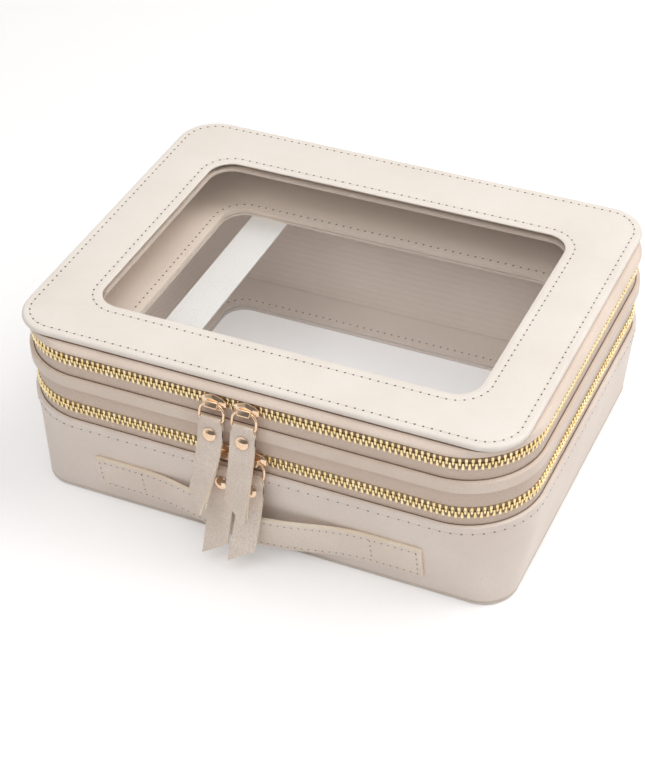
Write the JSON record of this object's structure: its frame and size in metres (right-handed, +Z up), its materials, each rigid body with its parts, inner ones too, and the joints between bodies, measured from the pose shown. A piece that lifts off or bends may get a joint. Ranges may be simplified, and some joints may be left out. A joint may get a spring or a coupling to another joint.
{
  "type": "makeup train case",
  "caption": "Two-tier zip-round makeup train case with clear windows in its lid, middle panel and underside, leather pull tabs and a front grab strap.",
  "frame": {"origin": "centre of the underside, on the surface that the case stands on", "axes": "+X to the right along the front with the handle strap, +Y to the hinged back, +Z up"},
  "size_m": [0.258, 0.2188, 0.0972],
  "materials": {
    "wall_leather": "satin",
    "lid_leather": "satin",
    "bottom_leather": "satin",
    "board": "matte",
    "lining_fabric": "matte",
    "clear_film": "glossy",
    "zip_tape": "matte",
    "zip_teeth": "polished",
    "elastic": "matte",
    "rose_gold": "polished",
    "tab_leather": "satin"
  },
  "bodies": {
    "base": {"base_wall": "wall_leather", "base_board": "board", "base_lining": "lining_fabric", "bottom_panel": "bottom_leather", "bottom_piping": "bottom_leather", "bottom_window": "clear_film", "bottom_inner_frame": "lining_fabric", "base_zip_tape": "zip_tape", "base_zip_teeth": "zip_teeth", "lower_zip_stops": "zip_teeth", "base_hinge_strip": "wall_leather", "handle_strap": "wall_leather"},
    "tray": {"tray_strip": "wall_leather", "tray_lower_tape": "zip_tape", "tray_lower_teeth": "zip_teeth", "tray_upper_tape": "zip_tape", "tray_upper_teeth": "zip_teeth", "upper_zip_stops": "zip_teeth", "tray_lower_hinge_strip": "wall_leather", "tray_upper_hinge_strip": "wall_leather", "tray_lining": "lining_fabric", "middle_panel": "lining_fabric", "middle_window": "clear_film", "middle_under_frame": "lining_fabric", "elastic_band": "elastic"},
    "lid": {"lid_panel": "lid_leather", "lid_window": "clear_film", "lid_inner_frame": "lining_fabric", "lid_strip": "lid_leather", "lid_lining": "lining_fabric", "lid_zip_tape": "zip_tape", "lid_zip_teeth": "zip_teeth", "lid_hinge_strip": "wall_leather"},
    "upper_left_slider": {"upper_left_slider": "rose_gold"},
    "upper_left_link": {"upper_left_link": "rose_gold"},
    "upper_left_pull": {"upper_left_tab": "tab_leather", "upper_left_rivet": "rose_gold"},
    "upper_right_slider": {"upper_right_slider": "rose_gold"},
    "upper_right_link": {"upper_right_link": "rose_gold"},
    "upper_right_pull": {"upper_right_tab": "tab_leather", "upper_right_rivet": "rose_gold"},
    "lower_left_slider": {"lower_left_slider": "rose_gold"},
    "lower_left_link": {"lower_left_link": "rose_gold"},
    "lower_left_pull": {"lower_left_tab": "tab_leather", "lower_left_rivet": "rose_gold"},
    "lower_right_slider": {"lower_right_slider": "rose_gold"},
    "lower_right_link": {"lower_right_link": "rose_gold"},
    "lower_right_pull": {"lower_right_tab": "tab_leather", "lower_right_rivet": "rose_gold"}
  },
  "joints": [
    {"name": "tray_hinge", "type": "hinge", "parent": "base", "child": "tray", "pos_m": [0, 0.1015, 0.0578], "axis": [-1, 0, 0], "range_deg": [0, 85]},
    {"name": "lid_hinge", "type": "hinge", "parent": "tray", "child": "lid", "pos_m": [0, 0.1015, 0.0858], "axis": [-1, 0, 0], "range_deg": [0, 100]},
    {"name": "upper_left_slide", "type": "slide", "parent": "tray", "child": "upper_left_slider", "axis": [1, 0, 0], "range_m": [-0.068, 0]},
    {"name": "upper_left_link_hinge", "type": "hinge", "parent": "upper_left_slider", "child": "upper_left_link", "pos_m": [-0.016, -0.102, 0.0858], "axis": [-1, 0, 0], "range_deg": [0, 100]},
    {"name": "upper_left_tab_hinge", "type": "hinge", "parent": "upper_left_link", "child": "upper_left_pull", "pos_m": [-0.016, -0.10407, 0.07807], "axis": [-1, 0, 0], "range_deg": [0, 80]},
    {"name": "upper_right_slide", "type": "slide", "parent": "tray", "child": "upper_right_slider", "axis": [1, 0, 0], "range_m": [0, 0.083]},
    {"name": "upper_right_link_hinge", "type": "hinge", "parent": "upper_right_slider", "child": "upper_right_link", "pos_m": [0.0002, -0.102, 0.0858], "axis": [-1, 0, 0], "range_deg": [0, 100]},
    {"name": "upper_right_tab_hinge", "type": "hinge", "parent": "upper_right_link", "child": "upper_right_pull", "pos_m": [0.0002, -0.10407, 0.07807], "axis": [-1, 0, 0], "range_deg": [0, 80]},
    {"name": "lower_left_slide", "type": "slide", "parent": "base", "child": "lower_left_slider", "axis": [1, 0, 0], "range_m": [-0.072, 0]},
    {"name": "lower_left_link_hinge", "type": "hinge", "parent": "lower_left_slider", "child": "lower_left_link", "pos_m": [-0.012, -0.102, 0.0578], "axis": [-1, 0, 0], "range_deg": [0, 8]},
    {"name": "lower_left_tab_hinge", "type": "hinge", "parent": "lower_left_link", "child": "lower_left_pull", "pos_m": [-0.012, -0.1038, 0.05001], "axis": [-1, 0, 0], "range_deg": [0, 10]},
    {"name": "lower_right_slide", "type": "slide", "parent": "base", "child": "lower_right_slider", "axis": [1, 0, 0], "range_m": [0, 0.0815]},
    {"name": "lower_right_link_hinge", "type": "hinge", "parent": "lower_right_slider", "child": "lower_right_link", "pos_m": [0.0025, -0.102, 0.0578], "axis": [-1, 0, 0], "range_deg": [0, 8]},
    {"name": "lower_right_tab_hinge", "type": "hinge", "parent": "lower_right_link", "child": "lower_right_pull", "pos_m": [0.0025, -0.1038, 0.05001], "axis": [-1, 0, 0], "range_deg": [0, 10]}
  ]
}
